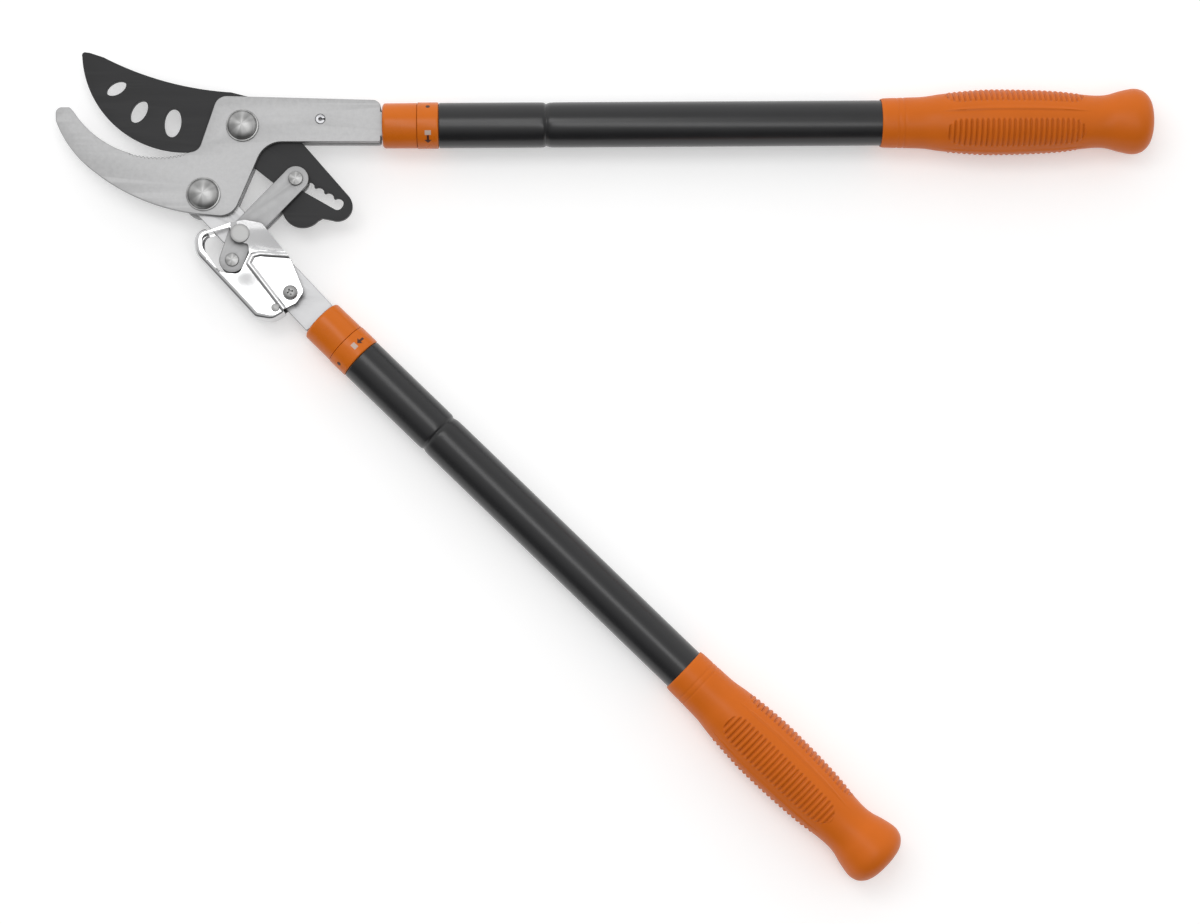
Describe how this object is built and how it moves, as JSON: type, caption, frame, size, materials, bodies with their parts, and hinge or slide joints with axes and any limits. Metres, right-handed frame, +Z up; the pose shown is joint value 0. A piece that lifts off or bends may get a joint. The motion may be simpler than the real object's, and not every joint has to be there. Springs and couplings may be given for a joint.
{
  "type": "bypass loppers",
  "caption": "Ratchet bypass loppers: curved blade passing an anvil hook, driven by a link in a notched slot, on telescopic twist-lock handles with ribbed grips.",
  "frame": {"origin": "middle of the loppers' footprint, on the surface that they lie on", "axes": "+X from the jaws to the grips, +Y towards the upper handle, +Z up out of the cutting plane"},
  "size_m": [0.68, 0.5094, 0.0406],
  "materials": {
    "plate_steel": "satin, lightly bead blasted",
    "blade_coating": "matt dark low-friction coating",
    "lever_steel": "satin plated",
    "link_steel": "satin",
    "guard_chrome": "polished",
    "zinc_plate": "bright plated",
    "spring_wire": "plain drawn wire",
    "bush_bronze": "oiled",
    "inner_tube": "drawn",
    "tube_paint": "satin dark paint",
    "lock_orange": "semi-gloss moulded",
    "grip_rubber": "matt moulded orange rubber",
    "black_nylon": "moulded"
  },
  "bodies": {
    "head": {"hook_plate": "plate_steel", "back_plate": "plate_steel", "tang_spacer": "zinc_plate", "stop_pin": "spring_wire", "stop_bush": "zinc_plate", "blade_bolt": "zinc_plate", "blade_bush": "bush_bronze", "blade_washer": "zinc_plate", "blade_nut": "zinc_plate", "lever_bolt": "zinc_plate", "lever_bush": "bush_bronze", "lever_washer": "zinc_plate", "lever_nut": "zinc_plate", "upper_inner_tube": "inner_tube", "upper_end_bush": "black_nylon", "upper_cross_pin": "zinc_plate"},
    "blade": {"cutting_blade": "blade_coating"},
    "lever": {"lever_bar": "lever_steel", "link_rivet": "zinc_plate", "spring_guard": "guard_chrome", "guard_screw": "zinc_plate", "guard_spacer_front": "zinc_plate", "guard_spacer_back": "zinc_plate", "guard_nut": "zinc_plate", "spring_anchor_pin": "zinc_plate", "lower_inner_tube": "inner_tube", "lower_end_bush": "black_nylon", "lower_cross_pin": "zinc_plate", "lower_filler_front": "black_nylon", "lower_filler_back": "black_nylon"},
    "link": {"link_plate_front": "link_steel", "link_plate_back": "link_steel", "ratchet_pin": "zinc_plate", "spring_pin": "zinc_plate", "ratchet_spring": "spring_wire"},
    "upper_slider": {"upper_outer_tube": "tube_paint", "upper_lock_body": "lock_orange", "upper_guide_bush": "black_nylon", "upper_grip": "grip_rubber"},
    "upper_sleeve": {"upper_lock_sleeve": "lock_orange"},
    "lower_slider": {"lower_outer_tube": "tube_paint", "lower_lock_body": "lock_orange", "lower_guide_bush": "black_nylon", "lower_grip": "grip_rubber"},
    "lower_sleeve": {"lower_lock_sleeve": "lock_orange"}
  },
  "joints": [
    {"name": "lever_pivot", "type": "hinge", "parent": "head", "child": "lever", "pos_m": [-0.2487, 0.1648, 0.0203], "axis": [0, 0, 1], "range_deg": [-28, 28]},
    {"name": "blade_pivot", "type": "hinge", "parent": "head", "child": "blade", "pos_m": [-0.2252, 0.2078, 0.0203], "axis": [0, 0, 1], "range_deg": [-20.6, 20.6]},
    {"name": "link_pivot", "type": "hinge", "parent": "lever", "child": "link", "pos_m": [-0.2257, 0.1398, 0.0203], "axis": [0, 0, 1], "range_deg": [-27.3, 27.3], "deforming": ["ratchet_spring"]},
    {"name": "upper_extension", "type": "slide", "parent": "head", "child": "upper_slider", "axis": [1, 0.0079, 0], "range_m": [0, 0.3]},
    {"name": "lower_extension", "type": "slide", "parent": "lever", "child": "lower_slider", "axis": [0.7178, -0.6963, 0], "range_m": [0, 0.3]},
    {"name": "upper_twist_lock", "type": "hinge", "parent": "upper_slider", "child": "upper_sleeve", "pos_m": [-0.139, 0.20915, 0.0203], "axis": [1, 0.0079, 0], "range_deg": [0, 90]},
    {"name": "lower_twist_lock", "type": "hinge", "parent": "lower_slider", "child": "lower_sleeve", "pos_m": [-0.1766, 0.0878, 0.0203], "axis": [0.7178, -0.6963, 0], "range_deg": [0, 90]}
  ],
  "couplings": [
    {"joint": "blade_pivot", "follows": "lever_pivot", "ratio": 0.73},
    {"joint": "link_pivot", "follows": "lever_pivot", "ratio": -0.97}
  ]
}
